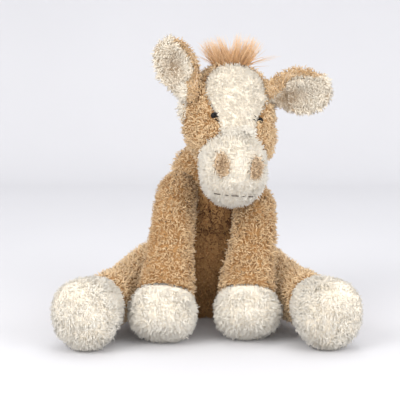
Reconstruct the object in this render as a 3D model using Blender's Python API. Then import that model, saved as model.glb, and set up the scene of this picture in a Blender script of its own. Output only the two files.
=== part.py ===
# Seated plush pony: stuffed body, neck, head, ears, legs and tail in pile cloth.
# Metres, +Z up, the pony faces -Y. The origin is the middle of the flat that it sits on.
# Left and right are the pony's own, so its left side is +X.
import math

import bmesh
import bpy
from mathutils import Matrix, Vector

# Cloth, clearances and cutters
CLOTH = 0.002  # wall of a pile-cloth panel
GAP = 0.0003  # between pieces that touch
TURNING_GAP = 0.0005  # round a stuffed ball that turns in its seat
OVERRUN = 0.012  # how far every cutter passes what it cuts
FLOOR_SINK = 0.0005  # depth of the flat that the weight presses
FLOOR_SPREAD = 4  # the floor's cutter is this many body heights wide
MERGE = 0.000001  # points nearer than this are one point

# Facets
BODY_SIDES = 20
HEAD_SIDES = 20
LIMB_SIDES = 14
SMALL_SIDES = 12
SEAT_SIDES = 24
SLOPE_STEP = 0.01  # step along and around over which a form's slope is read
SHARP_ANGLE = math.radians(50)

# Body
TORSO_WIDTH = 0.122
TORSO_DEPTH = 0.118
TORSO_HEIGHT = 0.168
TORSO_BASE_ROUND = 0.022
TORSO_TOP_ROUND = 0.026
TORSO_LINE_SHARES = ((0, 0, 0.13), (0.0, -0.03, 0.38), (0.04, -0.08, 0.62), (0.09, -0.13, 0.85))
TORSO_WIDTH_SHARES = (0.94, 1.0, 0.92, 0.80, 0.72)
TORSO_DEPTH_SHARES = (0.98, 1.0, 0.88, 0.74, 0.62)
TORSO_BASE_SQUARE_SHARE = 0.6
TORSO_TOP_SQUARE_SHARE = 0.7
BAG_WIDTH = 0.040
BAG_DEPTH = 0.048
BAG_HEIGHT = 0.015
BAG_BACK = 0.008  # the bag's middle lies this far behind the origin
BAG_CORNER = 0.005
BAG_SQUARE_SHARE = 0.6
BAG_LIFT = 0.0026  # clears the curve of the cloth under the bag

# Neck, a stuffed tube with a ball at each end
NECK_RADIUS = 0.027
NECK_LENGTH = 0.020
NECK_ROOT_SHARES = (0.087, -0.114, 0.855)  # of the body's width, depth and height
NECK_OPENING_SHARE = 0.67  # the skin stops this far round each ball
NECK_FORWARD = math.radians(31.6)
NECK_SIDEWAYS = math.radians(8.4)

# How far a ball's middle stands off the surface it sits in, as a share of its radius
NECK_STAND_SHARE = 0.44
TAIL_STAND_SHARE = 0.45
FRONT_STAND_SHARE = 0.60
EAR_STAND_SHARE = 0.62

# Head
HEAD_WIDTH = 0.083
HEAD_DEPTH = 0.084
HEAD_LENGTH = 0.146
HEAD_PITCH = math.radians(44)
HEAD_YAW = math.radians(2)
HEAD_ROLL = math.radians(9)
HEAD_BACK_ROUND = 0.030
HEAD_FRONT_ROUND = 0.030
HEAD_MIDDLE_SHARE = 0.29  # where the skull's middle lies along the head
HEAD_WIDTH_SHARES = (0.98, 1.0, 0.84, 0.70, 0.71)
HEAD_DEPTH_SHARES = (0.98, 1.0, 0.83, 0.73, 0.75)
HEAD_FRONT_SQUARE_SHARE = 0.8
MUZZLE_SEAM_SHARE = 0.78  # along the straight stretch of the head's line
CROWN_HOLE_SHARE = 0.93  # the side panels stop here, round the stuffing hole under the mane
BLAZE_TOP_SHARE = 0.30  # of the back round
CROWN_STEP_SHARE = 0.02  # over the blaze's top the side panels close within this
BLAZE_ANGLES = tuple(math.radians(angle) for angle in (15, 36, 47, 42, 34, 31))

# Eyes
EYE_RADIUS = 0.0031
EYE_HEIGHT = 0.0026
EYE_STEM_RADIUS = 0.0012
EYE_STEM_LENGTH = 0.0085
EYE_PLACE_SHARE = 0.53
EYE_ANGLE = math.radians(39)
WASHER_RADIUS = 0.0045
WASHER_THICKNESS = 0.0012
WASHER_DROP = 0.0014  # below the cloth's inner side

# Nostrils and mouth
NOSTRIL_WIDTH = 0.0135
NOSTRIL_HEIGHT = 0.022
NOSTRIL_THICKNESS = 0.0016
NOSTRIL_PLACE_SHARE = 0.28  # of the front round
NOSTRIL_ANGLE = math.radians(35)
NOSTRIL_LAYER_PLACES = (0.88, 1.72)  # the layer that the patch is cut from
NOSTRIL_LAYER_SPREAD = math.radians(48)
NOSTRIL_SIDES = 20
MOUTH_THREAD = 0.0006
MOUTH_HALF_ANGLE = math.radians(40)
MOUTH_LIFT = math.radians(5)
MOUTH_POINTS = 11

# Hair
FORELOCK_LENGTH = 0.022
FORELOCK_WIDTH = 0.040
FORELOCK_DEPTH = 0.012
FORELOCK_PLACE_SHARE = 0.42  # of the back round
FORELOCK_WIDTH_SHARES = (0.55, 0.80, 1.0, 0.95, 0.70)
FORELOCK_DEPTH_SHARES = (1.0, 1.0, 0.85, 0.65, 0.45)
MANE_WIDTH = 0.016
MANE_HEIGHT = 0.009
MANE_FRONT_SHARE = 0.74
MANE_BACK_SHARE = 0.42
MANE_HEIGHT_SHARES = (1.0, 1.0, 0.7)
MANE_BEND_SHARE = 0.8  # how sharply the mane goes over the crown
TAIL_RADIUS = 0.009
TAIL_LENGTH = 0.080
TAIL_PLACE_SHARE = 0.30
TAIL_RADIUS_SHARES = (1.0, 1.3, 1.5, 1.1, 0.67)
TAIL_BEND_SHARES = (0.75, 0.6)  # how far out it goes level, and where it turns down

# Ears
EAR_LENGTH = 0.053
EAR_WIDTH = 0.041
EAR_CUP = 0.013  # how deep the ear is cupped
EAR_LINING_THICKNESS = 0.0022
EAR_RIM = 0.0045  # the back cloth shows this far round the lining
EAR_ROOT_RADIUS = 0.009
EAR_STEPS = 8  # facets across each side
EAR_TIP_POWER = 6  # how bluntly the tip is rounded
EAR_EDGE_SHARE = 0.09  # the back cloth's edge, as a share of the half width
EAR_PLACE_SHARES = (0, 0.125, 0.25, 0.375, 0.5, 0.625, 0.75, 0.85, 0.92, 0.97, 0.99)
EAR_WIDTH_SHARES = (0.44, 0.74, 0.97, 1.0, 0.98, 0.95)
EAR_CUP_SHARES = (0.69, 0.88, 1.0, 0.92, 0.72, 0.38)
EAR_OPEN_SHARES = (-0.69, 0.30, 0.68, 0.62, 0.42, 0.10)
LINING_START_SHARE = 0.25
LINING_END_SHARE = 0.93
LEFT_EAR = {
    "place": 0.13,
    "angle": math.radians(50),
    "lean": (0.98, -0.06, -0.02),
    "face": (0.12, -0.93, -0.34),
}
RIGHT_EAR = {
    "place": 0.18,
    "angle": math.radians(-62),
    "lean": (-0.44, 0.20, 0.87),
    "face": (-0.42, -0.90, 0.05),
}

# Front legs
FRONT_ROOT_RADIUS = 0.0190
FRONT_RADIUS_SHARES = (1.0, 0.98, 1.05, 1.25, 1.57)
FRONT_ROOT_SHARE = 0.84
FRONT_ROOT_ANGLE = math.radians(42)
FRONT_SOLE_ROUND = 0.020
FRONT_SEAM_SHARE = 0.84
FRONT_ROOT_TILT = math.radians(60)  # the leg leaves the shoulder this far forward from straight down
FRONT_HOOF_TILT = math.radians(36)
FRONT_HOOF_SPLAY = math.radians(6)
LEFT_FRONT_STANCE = 0.037
LEFT_FRONT_REACH = 0.122
RIGHT_FRONT_STANCE = 0.041
RIGHT_FRONT_REACH = 0.130

# Hind legs
HIND_ROOT_RADIUS = 0.035
HIND_HEIGHT_SHARES = (1.0, 0.78, 0.66, 0.68, 0.93)
HIND_WIDTH_SHARES = (1.0, 0.75, 0.64, 0.63, 0.845)
HIND_ROOT_SHARES = (0.40, -0.24, 0.235)  # of the body's width, depth and height
HIND_SOLE_ROUND = 0.022
HIND_SEAM_SHARE = 0.76
HIND_ROOT_TILT = math.radians(78)
HIND_HOOF_TILT = math.radians(82)
HIND_ROOT_TURN = math.radians(42)  # the leg's line outwards from straight ahead, at the hip
HIND_HOOF_TURN = math.radians(26)
LEFT_HIND_STANCE = 0.1085
LEFT_HIND_REACH = 0.148
RIGHT_HIND_STANCE = 0.1095
RIGHT_HIND_REACH = 0.151
SOLE_SQUARE_SHARE = 0.8
LINE_HANDLE_SHARE = 0.36  # a limb's line leaves each end straight for this share of its span
LIMB_OPENING_SHARE = 0.67  # the sleeve stops this far round the root's ball
FOOT_START_SHARE = 0.6  # the part of a limb that can touch the floor starts here
SETTLING_TRIES = 8

# Colours
TAN = (0.56, 0.36, 0.19)
CREAM = (0.82, 0.74, 0.60)
HAIR = (0.62, 0.30, 0.12)
WADDING = (0.86, 0.85, 0.82)
BAG_CLOTH = (0.70, 0.66, 0.58)
BLACK = (0.01, 0.01, 0.012)
CLEAR_PLASTIC = (0.75, 0.75, 0.72)
THREAD = (0.09, 0.06, 0.04)


def smoothed(values, place):
    """A smooth course through evenly spaced values, read at a place from 0 to 1."""
    steps = len(values) - 1
    step = min(int(place * steps), steps - 1)
    share = place * steps - step
    start, end = values[step], values[step + 1]
    before = values[max(step - 1, 0)]
    after = values[min(step + 2, steps)]
    bend = 2 * before - 5 * start + 4 * end - after
    twist = 3 * (start - end) + after - before
    return (2 * start + share * (end - before + share * (bend + share * twist))) / 2


def evenly(start, end, count):
    """Evenly spaced places from start to end, both counted."""
    return [start + (end - start) * i / (count - 1) for i in range(count)]


def around(sides):
    """Angles of a closed ring."""
    return [2 * math.pi * i / sides for i in range(sides)]


class Form:
    """A stuffed shape: oval rings along a bent line, closed by a round end at each end.

    A place from 0 to 1 lies on the line, -1 to 0 on the round start and 1 to 2 on the round end.
    Angle 0 is the side that faces front.
    """

    def __init__(self, line, front, widths, depths, rounds, squares=(1, 1)):
        self.line = [Vector(point) for point in line]
        self.front = Vector(front)
        self.widths = widths
        self.depths = depths
        self.rounds = rounds
        self.squares = squares

    def middle(self, place):
        a, b, c, d = self.line
        rest = 1 - place
        return a * rest**3 + b * 3 * place * rest**2 + c * 3 * place**2 * rest + d * place**3

    def direction(self, place):
        a, b, c, d = self.line
        rest = 1 - place
        return ((b - a) * rest**2 + (c - b) * 2 * place * rest + (d - c) * place**2).normalized()

    def point(self, place, angle, inset=0):
        along = min(max(place, 0), 1)
        end = 0 if place < 0 else 1
        turn = abs(place - along) * math.pi / 2
        square = self.squares[end]
        reach = (self.rounds[end] - inset) * math.sin(turn) ** square
        narrow = max(math.cos(turn), 0) ** square if turn < math.pi / 2 else 0
        direction = self.direction(along)
        front = (self.front - direction * self.front.dot(direction)).normalized()
        across = direction.cross(front)
        middle = self.middle(along) + direction * (reach if end else -reach)
        halfWidth = (smoothed(self.widths, along) - inset) * narrow
        halfDepth = (smoothed(self.depths, along) - inset) * narrow
        return middle + across * math.sin(angle) * halfWidth + front * math.cos(angle) * halfDepth

    def normal(self, place, angle):
        """The outward direction of the surface, from its slopes along and around."""
        along = self.point(place + SLOPE_STEP, angle) - self.point(place - SLOPE_STEP, angle)
        over = self.point(place, angle + SLOPE_STEP) - self.point(place, angle - SLOPE_STEP)
        return over.cross(along).normalized() * self.outward(place, angle, over.cross(along))

    def outward(self, place, angle, normal):
        middle = self.middle(min(max(place, 0), 1))
        return 1 if normal.dot(self.point(place, angle) - middle) > 0 else -1

    def rows(self, places, angles, inset=0):
        return [[self.point(place, angle, inset) for angle in angles] for place in places]


def facetDip(radius, sides):
    """How far a facet's middle lies inside the true round."""
    return radius * (1 - math.cos(math.pi / sides))


# Mesh building


def isPole(row):
    return all((point - row[0]).length < MERGE for point in row)


def addFaces(bm, grid, wrap):
    """Quads between neighbouring vertices of a grid."""
    for near, far in zip(grid, grid[1:]):
        count = len(near)
        for i in range(count if wrap else count - 1):
            j = (i + 1) % count
            bm.faces.new((near[i], near[j], far[j], far[i]))


def addRows(bm, rows):
    return [[bm.verts.new(point) for point in row] for row in rows]


def closedMesh(rows):
    """A closed body from rings: an end that isn't drawn to a point gets a flat face."""
    bm = bmesh.new()
    grid = addRows(bm, rows)
    addFaces(bm, grid, True)
    for row, verts in ((rows[0], grid[0]), (rows[-1], grid[-1])):
        if not isPole(row):
            bm.faces.new(verts)
    return bm


def wallMesh(outer, inner, wrap):
    """A closed sheet with an outer and an inner side, joined along its edges."""
    bm = bmesh.new()
    outerGrid = addRows(bm, outer)
    innerGrid = addRows(bm, inner)
    addFaces(bm, outerGrid, wrap)
    addFaces(bm, innerGrid, wrap)
    for end in (0, -1):
        if not isPole(outer[end]):
            addFaces(bm, [outerGrid[end], innerGrid[end]], wrap)
    if not wrap:
        for column in (0, -1):
            edges = [[row[column] for row in grid] for grid in (outerGrid, innerGrid)]
            addFaces(bm, edges, False)
    return bm


def turnedMesh(place, axis, profile, sides, ring=False):
    """A body turned round an axis from (radius, height) points; a ring's profile is a closed loop."""
    turn = Vector(axis).to_track_quat("Z", "Y")
    loop = list(profile) + ([profile[0]] if ring else [])
    rows = []
    for radius, height in loop:
        ring = [Vector((radius * math.cos(a), radius * math.sin(a), height)) for a in around(sides)]
        rows.append([place + turn @ point for point in ring])
    if not ring:
        return closedMesh(rows)
    bm = bmesh.new()
    addFaces(bm, addRows(bm, rows), True)
    return bm


# Objects, looks and joints


def makeLook(name, colour, roughness, metallic=0.0):
    look = bpy.data.materials.new(name)
    look.use_nodes = True
    shader = look.node_tree.nodes["Principled BSDF"]
    shader.inputs["Base Color"].default_value = (*colour, 1)
    shader.inputs["Roughness"].default_value = roughness
    shader.inputs["Metallic"].default_value = metallic
    look.diffuse_color = (*colour, 1)
    return look


def makeJoint(name, place, parent=None):
    """An empty on a joint's axis, which carries the pieces that turn there."""
    joint = bpy.data.objects.new(name, None)
    joint.empty_display_size = NECK_RADIUS
    bpy.context.scene.collection.objects.link(joint)
    joint["place"] = list(place)
    if parent:
        joint.parent = parent
        joint.location = Vector(place) - Vector(parent["place"])
    else:
        joint.location = place
    return joint


def makeObject(name, bm, joint, look=None):
    """Closes the mesh, moves it to its joint's own frame and hangs it there."""
    bmesh.ops.remove_doubles(bm, verts=bm.verts, dist=MERGE)
    bmesh.ops.recalc_face_normals(bm, faces=bm.faces)
    mesh = bpy.data.meshes.new(name)
    bm.to_mesh(mesh)
    bm.free()
    mesh.transform(Matrix.Translation(-Vector(joint["place"])))
    mesh.shade_smooth()
    mesh.set_sharp_from_angle(angle=SHARP_ANGLE)
    made = bpy.data.objects.new(name, mesh)
    bpy.context.scene.collection.objects.link(made)
    made.parent = joint
    if look:
        mesh.materials.append(look)
    else:
        made.hide_render = True
        made.display_type = "WIRE"
    return made


def cut(made, cutter, operation="DIFFERENCE"):
    change = made.modifiers.new(cutter.name, "BOOLEAN")
    change.operation = operation
    change.object = cutter


def seatCutter(name, place, radius, joint):
    """A ball that clears another ball of the given radius, allowing for its own facets."""
    clear = (radius + TURNING_GAP) / math.cos(math.pi / SEAT_SIDES) ** 2
    bm = bmesh.new()
    bmesh.ops.create_uvsphere(bm, u_segments=SEAT_SIDES, v_segments=SEAT_SIDES // 2, radius=clear)
    bmesh.ops.translate(bm, verts=bm.verts, vec=place)
    return makeObject(name, bm, joint)


def skinMesh(form, places, sides):
    angles = around(sides)
    return wallMesh(form.rows(places, angles), form.rows(places, angles, CLOTH), True)


def fillMesh(form, places, sides, more=0):
    return closedMesh(form.rows(places, around(sides), CLOTH + GAP + more))


# Forms


def torsoPoint(shares):
    return Vector((shares[0] * TORSO_WIDTH, shares[1] * TORSO_DEPTH, shares[2] * TORSO_HEIGHT))


def torsoForm():
    line = [torsoPoint(shares) for shares in TORSO_LINE_SHARES]
    line[0].z = TORSO_BASE_ROUND - FLOOR_SINK
    line[-1].z = TORSO_HEIGHT - TORSO_TOP_ROUND
    widths = [share * TORSO_WIDTH / 2 for share in TORSO_WIDTH_SHARES]
    depths = [share * TORSO_DEPTH / 2 for share in TORSO_DEPTH_SHARES]
    rounds = (TORSO_BASE_ROUND, TORSO_TOP_ROUND)
    squares = (TORSO_BASE_SQUARE_SHARE, TORSO_TOP_SQUARE_SHARE)
    return Form(line, (0, -1, 0), widths, depths, rounds, squares)


def neckDirection():
    forward = Vector((0, -math.sin(NECK_FORWARD), math.cos(NECK_FORWARD)))
    return (forward + Vector((math.tan(NECK_SIDEWAYS), 0, 0))).normalized()


def straightLine(start, end):
    return [start.lerp(end, share) for share in (0, 1 / 3, 2 / 3, 1)]


def neckForm():
    root = torsoPoint(NECK_ROOT_SHARES)
    line = straightLine(root, root + neckDirection() * NECK_LENGTH)
    radii = (NECK_RADIUS, NECK_RADIUS)
    return Form(line, (0, -1, 0), radii, radii, radii)


def neckCollarCutter(neck, joint):
    """The straight opening at the top of the body that the neck comes out of."""
    start = neck.line[0]
    end = start + neckDirection() * (NECK_LENGTH + NECK_RADIUS + OVERRUN)
    collar = Form(straightLine(start, end), neck.front, neck.widths, neck.depths, neck.rounds)
    rows = collar.rows((0, 1), around(BODY_SIDES), -TURNING_GAP)
    return makeObject("neck_collar_cutter", closedMesh(rows), joint)


def headForm(neckTop):
    """The head's line runs from the skull down to the nose, with the face on its front side."""
    side = Vector((math.cos(HEAD_YAW), math.sin(HEAD_YAW), 0))
    level = Vector((math.sin(HEAD_YAW), -math.cos(HEAD_YAW), 0))
    along = level * math.cos(HEAD_PITCH) - Vector((0, 0, math.sin(HEAD_PITCH)))
    face = along.cross(side) * math.cos(HEAD_ROLL) + side * math.sin(HEAD_ROLL)
    skull = neckTop + neckDirection() * (HEAD_DEPTH / 2 + NECK_RADIUS * NECK_STAND_SHARE)
    start = skull + along * (HEAD_BACK_ROUND - HEAD_LENGTH * HEAD_MIDDLE_SHARE)
    end = start + along * (HEAD_LENGTH - HEAD_BACK_ROUND - HEAD_FRONT_ROUND)
    widths = [share * HEAD_WIDTH / 2 for share in HEAD_WIDTH_SHARES]
    depths = [share * HEAD_DEPTH / 2 for share in HEAD_DEPTH_SHARES]
    rounds = (HEAD_BACK_ROUND, HEAD_FRONT_ROUND)
    return Form(straightLine(start, end), face, widths, depths, rounds, (1, HEAD_FRONT_SQUARE_SHARE))


def limbForm(root, foot, footDirection, rootDirection, widths, depths, soleRound):
    span = (foot - root).length * LINE_HANDLE_SHARE
    line = (root, root + rootDirection.normalized() * span, foot - footDirection.normalized() * span, foot)
    return Form(line, (0, -1, 0), widths, depths, (widths[0], soleRound), (1, SOLE_SQUARE_SHARE))


def standingLimb(root, stance, reach, directions, widths, depths, soleRound):
    """Lowers or lifts the foot until the hoof's lowest point is where the floor presses it flat."""
    height = widths[-1]
    rootDirection, footDirection = directions
    for attempt in range(SETTLING_TRIES):
        foot = Vector((stance, -reach, height))
        form = limbForm(root, foot, footDirection, rootDirection, widths, depths, soleRound)
        rows = form.rows(evenly(FOOT_START_SHARE, 2, 15), around(LIMB_SIDES))
        height -= min(point.z for row in rows for point in row) + FLOOR_SINK
    return form


def frontLegForm(torso, side, stance, reach):
    angle = side * FRONT_ROOT_ANGLE
    seat = torso.point(FRONT_ROOT_SHARE, angle)
    root = seat + torso.normal(FRONT_ROOT_SHARE, angle) * FRONT_ROOT_RADIUS * FRONT_STAND_SHARE
    splay = side * math.sin(FRONT_HOOF_SPLAY)
    footDirection = Vector((splay, -math.sin(FRONT_HOOF_TILT), -math.cos(FRONT_HOOF_TILT)))
    radii = [share * FRONT_ROOT_RADIUS for share in FRONT_RADIUS_SHARES]
    rootDirection = Vector((splay, -math.sin(FRONT_ROOT_TILT), -math.cos(FRONT_ROOT_TILT)))
    directions = (rootDirection, footDirection)
    return standingLimb(root, side * stance, reach, directions, radii, radii, FRONT_SOLE_ROUND)


def leaning(turn, tilt):
    """A direction tilted forward from straight down, and turned to one side from straight ahead."""
    level = Vector((math.sin(turn), -math.cos(turn), 0))
    return level * math.sin(tilt) - Vector((0, 0, math.cos(tilt)))


def hindLegForm(side, stance, reach):
    root = torsoPoint(HIND_ROOT_SHARES)
    root.x *= side
    footDirection = leaning(side * HIND_HOOF_TURN, HIND_HOOF_TILT)
    rootDirection = leaning(side * HIND_ROOT_TURN, HIND_ROOT_TILT)
    directions = (rootDirection, footDirection)
    heights = [share * HIND_ROOT_RADIUS for share in HIND_HEIGHT_SHARES]
    widths = [share * HIND_ROOT_RADIUS for share in HIND_WIDTH_SHARES]
    return standingLimb(root, side * stance, reach, directions, heights, widths, HIND_SOLE_ROUND)


def tailForm(torso):
    seat = torso.point(TAIL_PLACE_SHARE, math.pi)
    out = torso.normal(TAIL_PLACE_SHARE, math.pi)
    root = seat + out * TAIL_RADIUS * TAIL_STAND_SHARE
    radii = [share * TAIL_RADIUS for share in TAIL_RADIUS_SHARES]
    drop = root.z - radii[-1] - 2 * CLOTH
    run = math.sqrt(max(TAIL_LENGTH**2 - drop**2, TAIL_RADIUS**2)) / 2
    tip = root + out * run - Vector((0, 0, drop))
    bend = root + out * run * TAIL_BEND_SHARES[0]
    line = (root, bend, bend.lerp(tip, TAIL_BEND_SHARES[1]), tip)
    return Form(line, (0, 0, 1), radii, radii, (radii[0], radii[-1]))


# Pieces


def makeTorso(torso, joint, seats, looks):
    places = evenly(-1, 0, 4) + evenly(0, 1, 6)[1:] + evenly(1, 2, 5)[1:]
    angles = around(BODY_SIDES)
    skin = makeObject("torso_skin", closedMesh(torso.rows(places, angles)), joint, looks["tan"])
    cut(skin, makeObject("torso_hollow_cutter", closedMesh(torso.rows(places, angles, CLOTH)), joint))
    fill = makeObject("torso_fill", fillMesh(torso, places, BODY_SIDES // 2), joint, looks["wadding"])
    floor = bmesh.new()
    bmesh.ops.create_cube(floor, size=1)
    wide = FLOOR_SPREAD * TORSO_HEIGHT
    bmesh.ops.scale(floor, verts=floor.verts, vec=(wide, wide, OVERRUN))
    bmesh.ops.translate(floor, verts=floor.verts, vec=(0, 0, -OVERRUN / 2))
    floorCutter = makeObject("floor_cutter", floor, joint)
    cut(skin, floorCutter)
    for seat in seats:
        cut(skin, seat)
        cut(fill, seat)
    makeBag(fill, joint, looks)
    return floorCutter


def bagForm(bottom):
    top = CLOTH + BAG_LIFT + BAG_HEIGHT
    middle = Vector((0, BAG_BACK, 0))
    start = middle + Vector((0, 0, bottom + BAG_CORNER))
    line = straightLine(start, middle + Vector((0, 0, top - BAG_CORNER)))
    widths = (BAG_WIDTH / 2, BAG_WIDTH / 2)
    depths = (BAG_DEPTH / 2, BAG_DEPTH / 2)
    squares = (BAG_SQUARE_SHARE, BAG_SQUARE_SHARE)
    return Form(line, (0, -1, 0), widths, depths, (BAG_CORNER, BAG_CORNER), squares)


def makeBag(fill, joint, looks):
    """The pellet bag lies in a pocket of the filling that is open below."""
    places = evenly(-1, 0, 4) + evenly(1, 2, 4)
    bag = bagForm(CLOTH + BAG_LIFT)
    makeObject("seat_pellet_bag", closedMesh(bag.rows(places, around(LIMB_SIDES))), joint, looks["bag"])
    pocket = bagForm(-OVERRUN)
    cut(fill, makeObject("bag_cutter", closedMesh(pocket.rows(places, around(LIMB_SIDES), -GAP)), joint))


def makeNeck(neck, joint, looks):
    places = evenly(-NECK_OPENING_SHARE, 0, 3) + evenly(1, 1 + NECK_OPENING_SHARE, 4)
    makeObject("neck_skin", skinMesh(neck, places, BODY_SIDES), joint, looks["tan"])
    fillPlaces = evenly(-1, places[0], 3)[:-1] + places + evenly(places[-1], 2, 3)[1:]
    makeObject("neck_fill", fillMesh(neck, fillPlaces, BODY_SIDES // 2), joint, looks["wadding"])


def blazeAngle(place):
    span = MUZZLE_SEAM_SHARE + BLAZE_TOP_SHARE
    return smoothed(BLAZE_ANGLES, min(max((place + BLAZE_TOP_SHARE) / span, 0), 1))


def panelMesh(head, places, edges, columns):
    """A panel of the head between two edge angles that may change from place to place."""
    outer, inner = [], []
    for place in places:
        start, end = edges(place)
        angles = evenly(start, end, columns)
        outer.append([head.point(place, angle) for angle in angles])
        inner.append([head.point(place, angle, CLOTH) for angle in angles])
    return wallMesh(outer, inner, False)


def makeHead(head, joint, seats, looks):
    """The face side is angle 0. Angles grow towards the pony's right, because the line runs downwards."""
    seamGap = GAP / HEAD_LENGTH  # half a seam, as a place along the line
    halfSeam = 2 * GAP / HEAD_WIDTH  # half a seam, as an angle
    blazePlaces = evenly(-BLAZE_TOP_SHARE + seamGap, MUZZLE_SEAM_SHARE - seamGap, 8)
    crownPlaces = evenly(-CROWN_HOLE_SHARE, -BLAZE_TOP_SHARE - CROWN_STEP_SHARE, 4)
    sidePlaces = crownPlaces + evenly(-BLAZE_TOP_SHARE, MUZZLE_SEAM_SHARE - seamGap, 8)
    muzzlePlaces = evenly(MUZZLE_SEAM_SHARE + seamGap, 1, 3) + evenly(1, 2, 6)[1:]

    def blazeEdges(place):
        return -blazeAngle(place) + halfSeam, blazeAngle(place) - halfSeam

    def sideEdges(place):
        start = blazeAngle(place) if place >= -BLAZE_TOP_SHARE else 0
        return start + halfSeam, math.pi - halfSeam

    def mirrored(place):
        start, end = sideEdges(place)
        return -end, -start

    blaze = makeObject("blaze", panelMesh(head, blazePlaces, blazeEdges, 7), joint, looks["cream"])
    right = makeObject("head_side_right", panelMesh(head, sidePlaces, sideEdges, 10), joint, looks["tan"])
    left = makeObject("head_side_left", panelMesh(head, sidePlaces, mirrored, 10), joint, looks["tan"])
    makeObject("muzzle_skin", skinMesh(head, muzzlePlaces, HEAD_SIDES), joint, looks["cream"])
    more = facetDip(HEAD_WIDTH / 2, HEAD_SIDES) + GAP
    fillPlaces = evenly(-1, -BLAZE_TOP_SHARE, 5) + blazePlaces[1:-1] + muzzlePlaces
    fill = makeObject("head_fill", fillMesh(head, fillPlaces, HEAD_SIDES, more), joint, looks["wadding"])
    for seat in seats:
        for piece in (left, right, blaze, fill):
            cut(piece, seat)
    for side, name, panel in ((-1, "left", left), (1, "right", right)):
        makeEye(head, side, name, joint, (blaze, panel), fill, looks)
        makeNostril(head, side, name, joint, looks)
    makeMouth(head, joint, looks)


def makeEye(head, side, name, joint, panels, fill, looks):
    """A domed bead on a stem that goes through the cloth, locked by a washer behind it."""
    place = head.point(EYE_PLACE_SHARE, side * EYE_ANGLE)
    out = head.normal(EYE_PLACE_SHARE, side * EYE_ANGLE)
    dome = [(EYE_RADIUS * math.cos(a), GAP + EYE_HEIGHT * math.sin(a)) for a in evenly(math.pi / 2, 0, 6)]
    dome[0] = (0, GAP + EYE_HEIGHT)
    stem = [(EYE_STEM_RADIUS, GAP), (EYE_STEM_RADIUS, -EYE_STEM_LENGTH), (0, -EYE_STEM_LENGTH)]
    makeObject("eye_" + name, turnedMesh(place, out, dome + stem, SMALL_SIDES), joint, looks["eye"])
    top = -CLOTH - WASHER_DROP
    hole = EYE_STEM_RADIUS + GAP
    bottom = top - WASHER_THICKNESS
    ring = [(hole, top), (WASHER_RADIUS, top), (WASHER_RADIUS, bottom), (hole, bottom)]
    washer = turnedMesh(place, out, ring, SMALL_SIDES, ring=True)
    makeObject("eye_washer_" + name, washer, joint, looks["plastic"])
    bore = [(0, OVERRUN), (hole, OVERRUN), (hole, -OVERRUN), (0, -OVERRUN)]
    holeCutter = makeObject("eye_hole_cutter_" + name, turnedMesh(place, out, bore, SMALL_SIDES), joint)
    for panel in panels:
        cut(panel, holeCutter)
    wide = WASHER_RADIUS + GAP
    deep = -EYE_STEM_LENGTH - GAP
    pocket = [(0, OVERRUN), (wide, OVERRUN), (wide, deep), (0, deep)]
    cut(fill, makeObject("eye_pocket_cutter_" + name, turnedMesh(place, out, pocket, SMALL_SIDES), joint))


def makeNostril(head, side, name, joint, looks):
    """An oval patch that follows the muzzle: a layer over it, kept only inside an oval prism."""
    places = evenly(*NOSTRIL_LAYER_PLACES, 14)
    middle = side * NOSTRIL_ANGLE
    angles = evenly(middle - NOSTRIL_LAYER_SPREAD, middle + NOSTRIL_LAYER_SPREAD, 15)
    outer = head.rows(places, angles, -GAP - NOSTRIL_THICKNESS)
    inner = head.rows(places, angles, -GAP)
    patch = makeObject("nostril_" + name, wallMesh(outer, inner, False), joint, looks["tan"])
    place = head.point(1 + NOSTRIL_PLACE_SHARE, side * NOSTRIL_ANGLE)
    out = head.normal(1 + NOSTRIL_PLACE_SHARE, side * NOSTRIL_ANGLE)
    down = (head.direction(1) - out * head.direction(1).dot(out)).normalized()
    over = out.cross(down)
    rows = []
    for height in (-OVERRUN, OVERRUN):
        ring = []
        for angle in around(NOSTRIL_SIDES):
            wide = over * math.sin(angle) * NOSTRIL_WIDTH / 2
            ring.append(place + out * height + wide + down * math.cos(angle) * NOSTRIL_HEIGHT / 2)
        rows.append(ring)
    cut(patch, makeObject("nostril_cutter_" + name, closedMesh(rows), joint), "INTERSECT")


def makeMouth(head, joint, looks):
    """One thread along the front of the muzzle, lying on the cloth."""
    along = head.direction(1)
    face = (head.front - along * head.front.dot(along)).normalized()
    aim = along * math.cos(MOUTH_LIFT) + face * math.sin(MOUTH_LIFT)
    across = along.cross(face)
    points = []
    for turn in evenly(-MOUTH_HALF_ANGLE, MOUTH_HALF_ANGLE, MOUTH_POINTS):
        ray = aim * math.cos(turn) + across * math.sin(turn)
        angle = math.atan2(ray.dot(across), ray.dot(face))
        place = 2 - math.acos(ray.dot(along)) / (math.pi / 2)
        points.append(head.point(place, angle, -GAP - MOUTH_THREAD) - Vector(joint["place"]))
    curve = bpy.data.curves.new("mouth_stitch", "CURVE")
    curve.dimensions = "3D"
    curve.bevel_depth = MOUTH_THREAD
    curve.bevel_resolution = 1
    curve.render_resolution_u = 0
    curve.use_fill_caps = True
    thread = curve.splines.new("POLY")
    thread.points.add(len(points) - 1)
    for target, point in zip(thread.points, points):
        target.co = (*point, 1)
    curve.materials.append(looks["thread"])
    made = bpy.data.objects.new("mouth_stitch", curve)
    bpy.context.scene.collection.objects.link(made)
    made.parent = joint


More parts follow.
